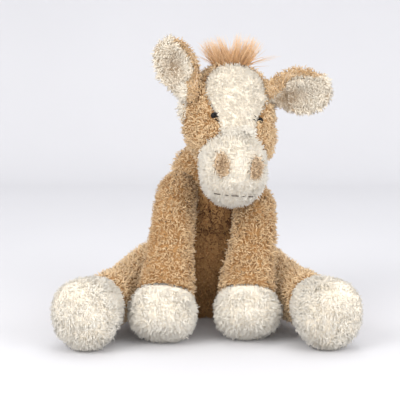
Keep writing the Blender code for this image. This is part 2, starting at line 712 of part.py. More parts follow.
def makeHair(head, joint, looks):
    """Forelock and mane, trimmed to the head so that they seat on it all over."""
    clear = GAP + facetDip(HEAD_WIDTH / 2, HEAD_SIDES)
    outline = head.rows(evenly(-1, 2, 19), around(HEAD_SIDES), -clear)
    headCutter = makeObject("head_outline_cutter", closedMesh(outline), joint)
    seat = head.point(-FORELOCK_PLACE_SHARE, 0, CLOTH)
    out = head.normal(-FORELOCK_PLACE_SHARE, 0)
    rise = (out + Vector((0, 0, 1))).normalized()
    line = straightLine(seat, seat + rise * FORELOCK_LENGTH)
    widths = [share * FORELOCK_WIDTH / 2 for share in FORELOCK_WIDTH_SHARES]
    depths = [share * FORELOCK_DEPTH / 2 for share in FORELOCK_DEPTH_SHARES]
    forelock = Form(line, (0, -1, 0), widths, depths, (CLOTH, depths[-1]))
    rows = forelock.rows(evenly(-1, 2, 10), around(LIMB_SIDES))
    cut(makeObject("forelock", closedMesh(rows), joint, looks["hair"]), headCutter)
    start = head.point(-MANE_FRONT_SHARE, 0)
    end = head.point(-MANE_BACK_SHARE, math.pi)
    top = head.point(-1, 0) + (head.point(-1, 0) - start.lerp(end, 0.5)) / 3
    line = (start, start.lerp(top, MANE_BEND_SHARE), end.lerp(top, MANE_BEND_SHARE), end)
    wide = (MANE_WIDTH / 2, MANE_WIDTH / 2, MANE_WIDTH / 2)
    high = [share * MANE_HEIGHT for share in MANE_HEIGHT_SHARES]
    side = Form(line, head.point(-1, 0) - head.middle(0), wide, high, (MANE_HEIGHT / 2, MANE_HEIGHT / 2))
    rows = side.rows(evenly(-1, 2, 13), around(SMALL_SIDES))
    cut(makeObject("mane", closedMesh(rows), joint, looks["hair"]), headCutter)


class Ear:
    """A cupped leaf that opens from a round root: ring shapes at shares of its length."""

    def __init__(self, root, ear):
        self.root = root
        self.along = Vector(ear["lean"]).normalized()
        face = Vector(ear["face"])
        self.face = (face - self.along * face.dot(self.along)).normalized()
        self.across = self.along.cross(self.face)

    def middle(self, place):
        """The ear's line bends a little towards its face."""
        return self.root + self.along * EAR_LENGTH * place + self.face * EAR_CUP * (place - place**2)

    def halfWidth(self, place):
        return smoothed(EAR_WIDTH_SHARES, place) * math.sqrt(1 - place**EAR_TIP_POWER) * EAR_WIDTH / 2

    def back(self, place, angle):
        half = self.halfWidth(place)
        cup = smoothed(EAR_CUP_SHARES, place) * EAR_CUP
        return self.middle(place) + self.across * math.cos(angle) * half - self.face * math.sin(angle) * cup

    def hollow(self, place, angle):
        """The inner side of the back cloth."""
        half = self.halfWidth(place) * (1 - EAR_EDGE_SHARE)
        depth = smoothed(EAR_OPEN_SHARES, place) * EAR_CUP
        over = self.across * math.cos(angle) * half
        return self.middle(place) + over - self.face * math.sin(angle) * depth


def earBackMesh(ear):
    rows = []
    for turn in evenly(math.pi / 2, 0, 5)[:-1]:
        ring = []
        for angle in around(2 * EAR_STEPS):
            spread = ear.across * math.cos(angle) - ear.face * math.sin(angle)
            ring.append(ear.root + (spread * math.cos(turn) - ear.along * math.sin(turn)) * EAR_ROOT_RADIUS)
        rows.append(ring)
    arc = evenly(0, math.pi, EAR_STEPS + 1)
    for place in EAR_PLACE_SHARES:
        inner = [ear.hollow(place, angle) for angle in reversed(arc)]
        rows.append([ear.back(place, angle) for angle in arc] + inner[1:-1])
    return closedMesh(rows)


def earLiningMesh(ear):
    """A thinner leaf that lies in the hollow and leaves the back's rim bare."""
    lift = GAP + facetDip(EAR_CUP, EAR_STEPS)
    under, over = [], []
    for place in EAR_PLACE_SHARES:
        if LINING_START_SHARE <= place <= LINING_END_SHARE:
            rim = math.acos(1 - EAR_RIM / ear.halfWidth(place))
            angles = evenly(rim, math.pi - rim, EAR_STEPS + 1)
            row = [ear.hollow(place, angle) + ear.face * lift for angle in angles]
            under.append(row)
            over.append([point + ear.face * EAR_LINING_THICKNESS for point in row])
    return wallMesh(under, over, False)


def makeEar(name, ear, joint, looks):
    makeObject("ear_back_" + name, earBackMesh(ear), joint, looks["tan"])
    makeObject("ear_lining_" + name, earLiningMesh(ear), joint, looks["cream"])


def makeLeg(name, form, seam, joint, floorCutter, looks):
    """Sleeve, hoof and filling of one leg, all read from one form."""
    seamGap = GAP / (form.line[-1] - form.line[0]).length
    sleevePlaces = evenly(-LIMB_OPENING_SHARE, 0, 4) + evenly(0, seam - seamGap, 6)[1:]
    hoofPlaces = evenly(seam + seamGap, 1, 4) + evenly(1, 2, 5)[1:]
    sleeve = makeObject(name + "_sleeve", skinMesh(form, sleevePlaces, LIMB_SIDES), joint, looks["tan"])
    hoof = makeObject(name + "_hoof", skinMesh(form, hoofPlaces, LIMB_SIDES), joint, looks["cream"])
    fillPlaces = evenly(-1, -LIMB_OPENING_SHARE, 3)[:-1] + sleevePlaces + hoofPlaces
    makeObject(name + "_fill", fillMesh(form, fillPlaces, LIMB_SIDES // 2), joint, looks["wadding"])
    cut(hoof, floorCutter)
    cut(sleeve, floorCutter)


def makeTail(form, joint, looks):
    rows = form.rows(evenly(-1, 2, 13), around(SMALL_SIDES))
    makeObject("tail", closedMesh(rows), joint, looks["hair"])


def clearScene():
    for made in list(bpy.data.objects):
        bpy.data.objects.remove(made, do_unlink=True)


def makeLooks():
    return {
        "tan": makeLook("tan_pile", TAN, 0.95),
        "cream": makeLook("cream_pile", CREAM, 0.95),
        "hair": makeLook("long_hair", HAIR, 0.7),
        "wadding": makeLook("wadding", WADDING, 0.95),
        "bag": makeLook("bag_cloth", BAG_CLOTH, 0.9),
        "eye": makeLook("eye_black", BLACK, 0.08),
        "plastic": makeLook("washer_plastic", CLEAR_PLASTIC, 0.4),
        "thread": makeLook("thread", THREAD, 0.8),
    }


def main():
    clearScene()
    looks = makeLooks()
    torso = torsoForm()
    neck = neckForm()
    head = headForm(neck.line[-1])
    frontLeft = frontLegForm(torso, 1, LEFT_FRONT_STANCE, LEFT_FRONT_REACH)
    frontRight = frontLegForm(torso, -1, RIGHT_FRONT_STANCE, RIGHT_FRONT_REACH)
    hindLeft = hindLegForm(1, LEFT_HIND_STANCE, LEFT_HIND_REACH)
    hindRight = hindLegForm(-1, RIGHT_HIND_STANCE, RIGHT_HIND_REACH)
    legs = {
        "front_leg_left": (frontLeft, FRONT_SEAM_SHARE),
        "front_leg_right": (frontRight, FRONT_SEAM_SHARE),
        "hind_leg_left": (hindLeft, HIND_SEAM_SHARE),
        "hind_leg_right": (hindRight, HIND_SEAM_SHARE),
    }
    tail = tailForm(torso)

    torsoJoint = makeJoint("torso_base", Vector((0, 0, 0)))
    neckJoint = makeJoint("neck_turn", neck.line[0], torsoJoint)
    headJoint = makeJoint("head_nod", neck.line[-1], neckJoint)
    tailJoint = makeJoint("tail_swing", tail.line[0], torsoJoint)

    seats = [seatCutter("neck_root_cutter", neck.line[0], NECK_RADIUS, torsoJoint)]
    seats.append(neckCollarCutter(neck, torsoJoint))
    seats.append(seatCutter("tail_seat_cutter", tail.line[0], TAIL_RADIUS, torsoJoint))
    legJoints = {}
    for name, (form, seam) in legs.items():
        legJoints[name] = makeJoint(name + "_swing", form.line[0], torsoJoint)
        seats.append(seatCutter(name + "_seat_cutter", form.line[0], form.widths[0], torsoJoint))
    floorCutter = makeTorso(torso, torsoJoint, seats, looks)
    makeNeck(neck, neckJoint, looks)

    headSeats = [seatCutter("head_seat_cutter", neck.line[-1], NECK_RADIUS, headJoint)]
    for name, ear in (("left", LEFT_EAR), ("right", RIGHT_EAR)):
        angle = -ear["angle"]
        stand = EAR_ROOT_RADIUS * EAR_STAND_SHARE
        root = head.point(ear["place"], angle) + head.normal(ear["place"], angle) * stand
        earJoint = makeJoint("ear_" + name + "_flop", root, headJoint)
        headSeats.append(seatCutter("ear_seat_cutter_" + name, root, EAR_ROOT_RADIUS, headJoint))
        makeEar(name, Ear(root, ear), earJoint, looks)
    makeHead(head, headJoint, headSeats, looks)
    makeHair(head, headJoint, looks)
    for name, (form, seam) in legs.items():
        makeLeg(name, form, seam, legJoints[name], floorCutter, looks)
    makeTail(tail, tailJoint, looks)


main()
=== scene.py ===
import math

import bmesh
import bpy
import numpy as np
from mathutils import Matrix, Vector, noise
from mathutils.bvhtree import BVHTree


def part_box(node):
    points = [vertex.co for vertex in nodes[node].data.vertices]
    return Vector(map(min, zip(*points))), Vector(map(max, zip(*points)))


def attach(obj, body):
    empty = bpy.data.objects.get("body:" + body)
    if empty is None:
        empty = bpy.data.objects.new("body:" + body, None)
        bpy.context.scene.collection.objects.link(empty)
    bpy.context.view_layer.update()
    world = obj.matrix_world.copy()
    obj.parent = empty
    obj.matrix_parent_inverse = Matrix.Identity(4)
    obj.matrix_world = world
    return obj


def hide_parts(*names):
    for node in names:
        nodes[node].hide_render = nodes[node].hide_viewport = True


# Seated plush pony. Metres, +Z up, it faces -Y. Left is its own left, +X.
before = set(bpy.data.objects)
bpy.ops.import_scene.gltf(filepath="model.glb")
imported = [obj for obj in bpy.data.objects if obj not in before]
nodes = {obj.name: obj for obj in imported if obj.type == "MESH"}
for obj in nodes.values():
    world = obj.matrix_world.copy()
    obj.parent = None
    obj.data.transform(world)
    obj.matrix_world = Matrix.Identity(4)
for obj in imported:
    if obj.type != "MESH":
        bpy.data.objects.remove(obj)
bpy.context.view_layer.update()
rng = np.random.default_rng(48)
noise.seed_set(48)  # the vector noise starts from the clock otherwise


# Camera and stage

camera = bpy.data.objects.new("camera", bpy.data.cameras.new("camera"))
bpy.context.scene.collection.objects.link(camera)
bpy.context.scene.camera = camera
shot = {
    "lens": 85, "sensor": 36, "view": 400, "distance": 0.944, "elevation": math.radians(8),
    "target": Vector((-0.007, -0.030, 0.1166)),
}
camera.data.lens = shot["lens"]
camera.data.sensor_width = shot["sensor"]
back = Vector((0, -math.cos(shot["elevation"]), math.sin(shot["elevation"])))
camera.location = shot["target"] + back * shot["distance"]
camera.rotation_euler = back.to_track_quat("Z", "Y").to_euler()
camera.data.clip_start = 0.01
camera.data.clip_end = 20
bpy.context.scene.view_settings.view_transform = "Standard"


# The surface point and normal that the camera sees at a place of the 400 by 400 view.
def seenAt(x, y, tree):
    focal = shot["view"] * shot["lens"] / shot["sensor"]
    half = shot["view"] / 2
    up = Vector((0, math.sin(shot["elevation"]), math.cos(shot["elevation"])))
    ray = (-back * focal + Vector((1, 0, 0)) * (x - half) + up * (half - y)).normalized()
    point, normal, index, distance = tree.ray_cast(camera.location, ray)
    return point, normal


# Where points show in the 400 by 400 view
def viewOf(points):
    focal = shot["view"] * shot["lens"] / shot["sensor"]
    half = shot["view"] / 2
    up = np.array((0, math.sin(shot["elevation"]), math.cos(shot["elevation"])))
    rays = points - np.array(camera.location)
    depth = rays @ -np.array(back)
    return half + focal * rays[:, 0] / depth, half - focal * (rays @ up) / depth


def addLight(name, place, aim, size, power, colour):
    lamp = bpy.data.lights.new(name, "AREA")
    lamp.shape = "DISK"
    lamp.size = size
    lamp.energy = power
    lamp.color = colour
    made = bpy.data.objects.new(name, lamp)
    bpy.context.scene.collection.objects.link(made)
    made.location = place
    made.rotation_euler = (Vector(place) - Vector(aim)).to_track_quat("Z", "Y").to_euler()
    return made


lights = [
    {"name": "keyLight", "place": (-1.00, -1.00, 0.95), "aim": (0, 0, 0.1),
     "size": 0.9, "power": 12.5, "colour": (1.0, 0.985, 0.965)},
    {"name": "fillLight", "place": (1.10, -1.00, 0.70), "aim": (0, 0, 0.1),
     "size": 1.0, "power": 10.5, "colour": (1.0, 0.99, 0.985)},
    {"name": "frontLight", "place": (0.05, -1.60, 0.20), "aim": (0, 0, 0.08),
     "size": 1.0, "power": 6, "colour": (1.0, 0.985, 0.96)},
    {"name": "topLight", "place": (0.1, 0.25, 1.6), "aim": (0, 0, 0.1),
     "size": 1.3, "power": 5.5, "colour": (1.0, 1.0, 1.0)},
]
for light in lights:
    addLight(**light)
world = bpy.data.worlds.new("studio")
bpy.context.scene.world = world
world.use_nodes = True
world.node_tree.nodes["Background"].inputs["Color"].default_value = (0.98, 0.98, 1.0, 1)
world.node_tree.nodes["Background"].inputs["Strength"].default_value = 0.97

# The floor runs into the wall on a soft curve behind the pony
sweep = {"near": -2.2, "far": 1.0, "bend": 0.4, "height": 2.2, "half": 3.0, "steps": 24}
rows = [(sweep["near"], 0.0), (sweep["far"], 0.0)]
for i in range(1, sweep["steps"] + 1):
    turn = math.pi / 2 * i / sweep["steps"]
    rows.append((sweep["far"] + sweep["bend"] * math.sin(turn), sweep["bend"] * (1 - math.cos(turn))))
rows.append((sweep["far"] + sweep["bend"], sweep["height"]))
bm = bmesh.new()
grid = [[bm.verts.new((x, y, z)) for x in (-sweep["half"], sweep["half"])] for y, z in rows]
for near, far in zip(grid, grid[1:]):
    bm.faces.new((near[0], near[1], far[1], far[0]))
floorMesh = bpy.data.meshes.new("floor")
bm.to_mesh(floorMesh)
bm.free()
floorMesh.shade_smooth()
floor = bpy.data.objects.new("floor", floorMesh)
bpy.context.scene.collection.objects.link(floor)


# Materials

def newMaterial(name, roughness, colour=(0.8, 0.8, 0.8)):
    material = bpy.data.materials.new(name)
    material.use_nodes = True
    shader = material.node_tree.nodes["Principled BSDF"]
    shader.inputs["Base Color"].default_value = (*colour, 1)
    shader.inputs["Roughness"].default_value = roughness
    return material, shader


def addNode(tree, kind, **values):
    node = tree.nodes.new(kind)
    for key, value in values.items():
        setattr(node, key, value)
    return node


def addRamp(tree, factor, stops):
    ramp = addNode(tree, "ShaderNodeValToRGB")
    while len(ramp.color_ramp.elements) < len(stops):
        ramp.color_ramp.elements.new(0.5)
    for element, (place, colour) in zip(ramp.color_ramp.elements, stops):
        element.position = place
        element.color = (*colour, 1)
    tree.links.new(factor, ramp.inputs["Fac"])
    return ramp.outputs["Color"]


floorMaterial, floorShader = newMaterial("floorPaper", 0.85)
tree = floorMaterial.node_tree
coords = addNode(tree, "ShaderNodeTexCoord")
grain = addNode(tree, "ShaderNodeTexNoise")
grain.inputs["Scale"].default_value = 3.0
tree.links.new(coords.outputs["Object"], grain.inputs["Vector"])
tint = addRamp(tree, grain.outputs["Fac"], [(0.3, (0.965, 0.965, 0.995)), (0.7, (0.985, 0.985, 1.015))])
paperGrey = 0.67  # one plain pale tone
wash = addNode(tree, "ShaderNodeMix", data_type="RGBA", blend_type="MULTIPLY")
wash.inputs["Factor"].default_value = 1
wash.inputs["A"].default_value = (paperGrey, paperGrey, paperGrey, 1)
tree.links.new(tint, wash.inputs["B"])
tree.links.new(wash.outputs["Result"], floorShader.inputs["Base Color"])
floorMesh.materials.append(floorMaterial)


def newGroup(name, inputs, outputs):
    group = bpy.data.node_groups.new(name, "ShaderNodeTree")
    for label, kind in inputs:
        group.interface.new_socket(label, in_out="INPUT", socket_type=kind)
    for label, kind in outputs:
        group.interface.new_socket(label, in_out="OUTPUT", socket_type=kind)
    return group, addNode(group, "NodeGroupInput"), addNode(group, "NodeGroupOutput")


def mixColours(tree, factor, first, second):
    mix = addNode(tree, "ShaderNodeMix", data_type="RGBA")
    tree.links.new(factor, mix.inputs["Factor"])
    tree.links.new(first, mix.inputs["A"])
    tree.links.new(second, mix.inputs["B"])
    return mix.outputs["Result"]


# Colour along a tuft from the root's colour to the tip's, between a dark and a light lock
fibreGroup, given, result = newGroup(
    "fibreColour",
    [("Along", "NodeSocketFloat"), ("Shade", "NodeSocketFloat"), ("Dark Root", "NodeSocketColor"),
     ("Dark Tip", "NodeSocketColor"), ("Light Root", "NodeSocketColor"), ("Light Tip", "NodeSocketColor")],
    [("Color", "NodeSocketColor")],
)
rise = addNode(fibreGroup, "ShaderNodeMapRange", interpolation_type="SMOOTHSTEP")
rise.inputs["From Max"].default_value = 0.85
fibreGroup.links.new(given.outputs["Along"], rise.inputs["Value"])
upTuft = rise.outputs["Result"]
darkLock = mixColours(fibreGroup, upTuft, given.outputs["Dark Root"], given.outputs["Dark Tip"])
lightLock = mixColours(fibreGroup, upTuft, given.outputs["Light Root"], given.outputs["Light Tip"])
tuftColour = mixColours(fibreGroup, given.outputs["Shade"], darkLock, lightLock)
fibreGroup.links.new(tuftColour, result.inputs["Color"])

# Knitted cloth: fine loops over slow patches
knitGroup, given, result = newGroup(
    "knit",
    [("Vector", "NodeSocketVector"), ("Loops", "NodeSocketFloat")],
    [("Mask", "NodeSocketFloat"), ("Height", "NodeSocketFloat")],
)
loops = addNode(knitGroup, "ShaderNodeTexVoronoi")
patches = addNode(knitGroup, "ShaderNodeTexNoise")
patches.inputs["Scale"].default_value = 90
knitGroup.links.new(given.outputs["Vector"], loops.inputs["Vector"])
knitGroup.links.new(given.outputs["Loops"], loops.inputs["Scale"])
knitGroup.links.new(given.outputs["Vector"], patches.inputs["Vector"])
blendLoops = addNode(knitGroup, "ShaderNodeMath", operation="MULTIPLY_ADD")
blendLoops.inputs[1].default_value = 0.5
knitGroup.links.new(loops.outputs["Distance"], blendLoops.inputs[0])
knitGroup.links.new(patches.outputs["Fac"], blendLoops.inputs[2])
knitGroup.links.new(blendLoops.outputs["Value"], result.inputs["Mask"])
knitGroup.links.new(loops.outputs["Distance"], result.inputs["Height"])


# A strand reads its own UVs: U is its shade, V runs from root to tip
def fibreMaterial(name, colours, roughness, sheen):
    material, shader = newMaterial(name, roughness)
    tree = material.node_tree
    place = addNode(tree, "ShaderNodeUVMap", uv_map="OFBake")
    split = addNode(tree, "ShaderNodeSeparateXYZ")
    tree.links.new(place.outputs["UV"], split.inputs["Vector"])
    fibre = addNode(tree, "ShaderNodeGroup", node_tree=fibreGroup)
    tree.links.new(split.outputs["X"], fibre.inputs["Shade"])
    tree.links.new(split.outputs["Y"], fibre.inputs["Along"])
    for label, colour in colours.items():
        fibre.inputs[label].default_value = (*colour, 1)
    tree.links.new(fibre.outputs["Color"], shader.inputs["Base Color"])
    shader.inputs["Specular IOR Level"].default_value = 0.15
    shader.inputs["Sheen Weight"].default_value = sheen
    shader.inputs["Sheen Roughness"].default_value = 0.5
    return material


# Knitted backing cloth between the tufts, wadding and the bag's weave
def backingMaterial(name, dark, light, loopsPerMetre):
    material, shader = newMaterial(name, 0.95)
    tree = material.node_tree
    coords = addNode(tree, "ShaderNodeTexCoord")
    knit = addNode(tree, "ShaderNodeGroup", node_tree=knitGroup)
    knit.inputs["Loops"].default_value = loopsPerMetre
    tree.links.new(coords.outputs["Object"], knit.inputs["Vector"])
    colour = addRamp(tree, knit.outputs["Mask"], [(0.35, dark), (0.9, light)])
    tree.links.new(colour, shader.inputs["Base Color"])
    bump = addNode(tree, "ShaderNodeBump")
    bump.inputs["Distance"].default_value = 0.0004
    tree.links.new(knit.outputs["Height"], bump.inputs["Height"])
    tree.links.new(bump.outputs["Normal"], shader.inputs["Normal"])
    shader.inputs["Specular IOR Level"].default_value = 0.1
    return material


tanPile = fibreMaterial("tanPile", {
    "Dark Root": (0.30, 0.152, 0.057), "Dark Tip": (0.51, 0.325, 0.158),
    "Light Root": (0.52, 0.315, 0.148), "Light Tip": (0.770, 0.575, 0.350),
}, 0.8, 0.25)
# Painted shade: the pile between the front legs, much darker and redder than the rest, as if in deep shadow
chestPile = fibreMaterial("chestPile", {
    "Dark Root": (0.06, 0.020, 0.007), "Dark Tip": (0.15, 0.065, 0.024),
    "Light Root": (0.33, 0.145, 0.050), "Light Tip": (0.58, 0.33, 0.135),
}, 0.8, 0.1)
nostrilPile = fibreMaterial("nostrilPile", {
    "Dark Root": (0.22, 0.13, 0.07), "Dark Tip": (0.43, 0.29, 0.165),
    "Light Root": (0.52, 0.37, 0.23), "Light Tip": (0.78, 0.63, 0.45),
}, 0.8, 0.25)
# Painted light: the cream roots are lighter than the tips, which lifts the shade deep in the pile
creamPile = fibreMaterial("creamPile", {
    "Dark Root": (0.80, 0.70, 0.55), "Dark Tip": (0.70, 0.635, 0.53),
    "Light Root": (0.92, 0.84, 0.70), "Light Tip": (0.84, 0.80, 0.715),
}, 0.8, 0.2)
# Its dark lock is painted shade for the ears' hollows; its light lock is the lining's cream
liningPile = fibreMaterial("liningPile", {
    "Dark Root": (0.29, 0.19, 0.105), "Dark Tip": (0.43, 0.32, 0.21),
    "Light Root": (0.80, 0.71, 0.57), "Light Tip": (0.84, 0.78, 0.67),
}, 0.8, 0.2)
hairStrands = fibreMaterial("hairStrands", {
    "Dark Root": (0.56, 0.30, 0.12), "Dark Tip": (0.74, 0.46, 0.235),
    "Light Root": (0.76, 0.47, 0.235), "Light Tip": (0.95, 0.72, 0.46),
}, 0.5, 0.15)
# The tan knit's own colour, set darker as painted shade between the tufts
tanBacking = backingMaterial("tanBacking", (0.24, 0.12, 0.045), (0.42, 0.24, 0.10), 900)
# Painted light: the cream backing is lighter than the pile's tips, which lifts the shade between the tufts
creamBacking = backingMaterial("creamBacking", (0.84, 0.75, 0.61), (0.90, 0.82, 0.69), 900)
waddingMaterial = backingMaterial("waddingFibre", (0.72, 0.70, 0.66), (0.90, 0.89, 0.86), 260)
bagMaterial = backingMaterial("bagWeave", (0.52, 0.48, 0.40), (0.74, 0.70, 0.61), 1100)


# Cloth: each panel's own form, rounded by one subdivision

def activate(made):
    bpy.ops.object.select_all(action="DESELECT")
    made.select_set(True)
    bpy.context.view_layer.objects.active = made


# A copy of a CAD node with its points joined, its facets turned to quads and subdivided.
def pieceFrom(node, name, material, levels=1):
    made = bpy.data.objects.new(name, nodes[node].data.copy())
    bpy.context.scene.collection.objects.link(made)
    made.data.materials.clear()
    made.data.materials.append(material)
    activate(made)
    bpy.ops.object.mode_set(mode="EDIT")
    bpy.ops.mesh.select_all(action="SELECT")
    bpy.ops.mesh.remove_doubles(threshold=0.00001)
    bpy.ops.mesh.tris_convert_to_quads(face_threshold=0.7, shape_threshold=0.7)
    bpy.ops.object.mode_set(mode="OBJECT")
    if levels:
        change = made.modifiers.new("rounded", "SUBSURF")
        change.levels = change.render_levels = levels
        bpy.ops.object.modifier_apply(modifier=change.name)
    made.data.shade_smooth()
    return made


skins = [
    {"node": "torso_skin", "body": "torso", "look": "tan"},
    {"node": "neck_skin", "body": "neck", "look": "tan"},
    {"node": "head_side_left", "body": "head", "look": "tan"},
    {"node": "head_side_right", "body": "head", "look": "tan"},
    {"node": "blaze", "body": "head", "look": "cream"},
    {"node": "muzzle_skin", "body": "head", "look": "cream"},
    {"node": "nostril_left", "body": "head", "look": "tan"},
    {"node": "nostril_right", "body": "head", "look": "tan"},
]
for side in ("left", "right"):
    skins += [
        {"node": "ear_back_" + side, "body": "ear_" + side, "look": "tan"},
        {"node": "ear_lining_" + side, "body": "ear_" + side, "look": "cream"},
        {"node": "front_leg_" + side + "_sleeve", "body": "front_leg_" + side, "look": "tan"},
        {"node": "front_leg_" + side + "_hoof", "body": "front_leg_" + side, "look": "cream"},
        {"node": "hind_leg_" + side + "_sleeve", "body": "hind_leg_" + side, "look": "tan"},
        {"node": "hind_leg_" + side + "_hoof", "body": "hind_leg_" + side, "look": "cream"},
    ]
backings = {"tan": tanBacking, "cream": creamBacking}
nostrilBacking = backingMaterial("nostrilBacking", (0.36, 0.24, 0.14), (0.52, 0.37, 0.23), 900)
earBacking = backingMaterial("earBacking", (0.46, 0.33, 0.20), (0.62, 0.48, 0.33), 900)
for skin in skins:
    backing = backings[skin["look"]]
    if skin["node"].startswith("nostril"):
        backing = nostrilBacking
    if skin["node"].startswith("ear_back"):
        backing = earBacking
    skin["cloth"] = pieceFrom(skin["node"], skin["node"] + "_cloth", backing)
    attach(skin["cloth"], skin["body"])
    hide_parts(skin["node"])
cloths = {skin["node"]: skin["cloth"] for skin in skins}
print("cloth made", len(skins))

# The chest and the belly swell between the front legs, with a fold between them
folds = [
    {"height": 0.050, "spread": 0.021, "swell": 0.010, "half": 0.030},
    {"height": 0.116, "spread": 0.017, "swell": 0.007, "half": 0.026},
]
foldMiddle = 0.008
torsoCloth = cloths["torso_skin"]
for point in torsoCloth.data.vertices:
    facing = min(1.0, max(0.0, -point.normal.y * 1.6))
    for fold in folds:
        up = (point.co.z - fold["height"]) / fold["spread"]
        across = (point.co.x - foldMiddle) / fold["half"]
        point.co.y -= fold["swell"] * facing * math.exp(-up * up - across * across)
torsoCloth.data.update()

# Places where the stuffing pushes a panel out: cheeks, the root of the right ear, the top of the left one
swells = [
    {"node": "head_side_right", "at": (-0.020, -0.070, 0.177), "reach": 0.018, "push": (-0.008, 0, 0)},
    {"node": "head_side_left", "at": (0.058, -0.070, 0.170), "reach": 0.020, "push": (0.009, 0, 0)},
    {"node": "head_side_right", "at": (-0.020, -0.066, 0.213), "reach": 0.013, "push": (-0.007, 0, 0)},
    {"node": "ear_back_left", "at": (0.078, -0.068, 0.242), "reach": 0.032, "push": (0, 0, 0.005)},
    {"node": "ear_back_right", "at": (-0.040, -0.068, 0.262), "reach": 0.024, "push": (-0.003, 0, 0.003)},
]
for swell in swells:
    push = Vector(swell["push"])
    cloth = cloths[swell["node"]]
    facings = [max(0.0, min(1.0, 1.4 * v.normal.dot(push.normalized()))) for v in cloth.data.vertices]
    for point, facing in zip(cloth.data.vertices, facings):
        away = (point.co - Vector(swell["at"])).length / swell["reach"]
        point.co += push * facing * math.exp(-away * away)
    cloth.data.update()

stuffing = {
    "torso_fill": "torso",
    "neck_fill": "neck",
    "head_fill": "head",
    "front_leg_left_fill": "front_leg_left",
    "front_leg_right_fill": "front_leg_right",
    "hind_leg_left_fill": "hind_leg_left",
    "hind_leg_right_fill": "hind_leg_right",
}
for node, body in stuffing.items():
    made = pieceFrom(node, node + "_wadding", waddingMaterial)
    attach(made, body)
    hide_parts(node)
bag = pieceFrom("seat_pellet_bag", "pellet_bag", bagMaterial)
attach(bag, "torso")
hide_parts("seat_pellet_bag")


# Pile

# One search tree over several pieces.
def makeTree(objects):
    points, faces = [], []
    for made in objects:
        start = len(points)
        points += [made.matrix_world @ v.co for v in made.data.vertices]
        faces += [[start + i for i in p.vertices] for p in made.data.polygons]
    return BVHTree.FromPolygons(points, faces)


stuffingTree = makeTree([nodes[node] for node in stuffing])


# Triangles of a piece's outer side: a ray from the inner side meets the stuffing at once
def outerFacets(made):
    made.data.calc_loop_triangles()
    corners, normals = [], []
    world = made.matrix_world
    hidden = {}
    for facet in made.data.polygons:
        hit = stuffingTree.ray_cast(world @ facet.center - facet.normal * 0.0003, facet.normal, 0.004)
        hidden[facet.index] = hit[0] is not None
    for triangle in made.data.loop_triangles:
        if not hidden[triangle.polygon_index]:
            corners.append([world @ made.data.vertices[i].co for i in triangle.vertices])
            normals.append([made.data.vertices[i].normal[:] for i in triangle.vertices])
    return np.array(corners, float), np.array(normals, float)


# Random points on the triangles, thinned to one in each cell of a grid.
def spreadPoints(corners, normals, spacing):
    edgeA = corners[:, 1] - corners[:, 0]
    edgeB = corners[:, 2] - corners[:, 0]
    areas = np.linalg.norm(np.cross(edgeA, edgeB), axis=1) / 2
    count = int(areas.sum() / spacing**2 * 5)
    pick = rng.choice(len(areas), count, p=areas / areas.sum())
    a, b = rng.random(count), rng.random(count)
    flip = a + b > 1
    a[flip], b[flip] = 1 - a[flip], 1 - b[flip]
    weights = np.stack([1 - a - b, a, b], 1)[:, :, None]
    points = (corners[pick] * weights).sum(1)
    outs = (normals[pick] * weights).sum(1)
    outs /= np.linalg.norm(outs, axis=1)[:, None] + 1e-9
    cells = np.floor(points / (spacing * 1.15)).astype(int)
    first = np.unique(cells, axis=0, return_index=True)[1]
    return points[first], outs[first]


# Small clumps of curled three-sided strands. Up is Z, the length is 1.
def makeTufts(look, count=24):
    clumps = []
    for number in range(count):
        points, along, faces = [], [], []
        for strand in range(look["strands"]):
            heading = 2 * math.pi * (strand + rng.random() * 0.6) / look["strands"]
            lean = look["spread"] * (0.4 + rng.random())
            length = 0.75 + rng.random() * 0.5
            phase = rng.random() * 2 * math.pi
            turns = look["turns"] * (0.6 + rng.random() * 0.8) * (1 if rng.random() < 0.5 else -1)
            rings = []
            for step in range(look["rings"] + 1):
                t = step / look["rings"]
                x = math.sin(lean) * math.cos(heading) * t * length
                y = math.sin(lean) * math.sin(heading) * t * length
                swing = phase + turns * 2 * math.pi * t
                x += look["curl"] * (math.cos(swing) - math.cos(phase)) * min(1, t * 1.5)
                y += look["curl"] * (math.sin(swing) - math.sin(phase)) * min(1, t * 1.5)
                x += math.cos(heading) * look["base"]
                y += math.sin(heading) * look["base"]
                rings.append(Vector((x, y, math.cos(lean) * t * length - look["sink"])))
            start = len(points)
            for step, middle in enumerate(rings[:-1]):
                t = step / look["rings"]
                ahead = (rings[step + 1] - rings[max(step - 1, 0)]).normalized()
                side = ahead.orthogonal().normalized()
                over = ahead.cross(side)
                wide = look["thick"] * (1 - look["taper"] * t)
                for corner in range(3):
                    angle = 2 * math.pi * corner / 3 + phase
                    points.append(middle + (side * math.cos(angle) + over * math.sin(angle)) * wide)
                    along.append(t)
            points.append(rings[-1])
            along.append(1.0)
            for step in range(look["rings"] - 1):
                for corner in range(3):
                    i = start + step * 3 + corner
                    j = start + step * 3 + (corner + 1) % 3
                    faces += [(i, j, j + 3), (i, j + 3, i + 3)]
            tip = len(points) - 1
            last = start + (look["rings"] - 1) * 3
            for corner in range(3):
                faces.append((last + corner, last + (corner + 1) % 3, tip))
            faces.append((start + 2, start + 1, start))
        clumps.append((np.array([p[:] for p in points]), np.array(along)))
    return [c[0] for c in clumps], clumps[0][1], np.array(faces)


# A mesh of triangles with one UV per corner.
def meshFrom(name, points, faces, uvs, material):
    mesh = bpy.data.meshes.new(name)
    mesh.vertices.add(len(points))
    mesh.vertices.foreach_set("co", points.astype(np.float32).ravel())
    mesh.loops.add(faces.size)
    mesh.loops.foreach_set("vertex_index", faces.astype(np.int32).ravel())
    mesh.polygons.add(len(faces))
    mesh.polygons.foreach_set("loop_start", np.arange(0, faces.size, 3, dtype=np.int32))
    mesh.update(calc_edges=True)
    layer = mesh.uv_layers.new(name="OFBake")
    layer.data.foreach_set("uv", uvs.astype(np.float32).ravel())
    mesh.materials.append(material)
    mesh.shade_smooth()
    made = bpy.data.objects.new(name, mesh)
    bpy.context.scene.collection.objects.link(made)
    return made


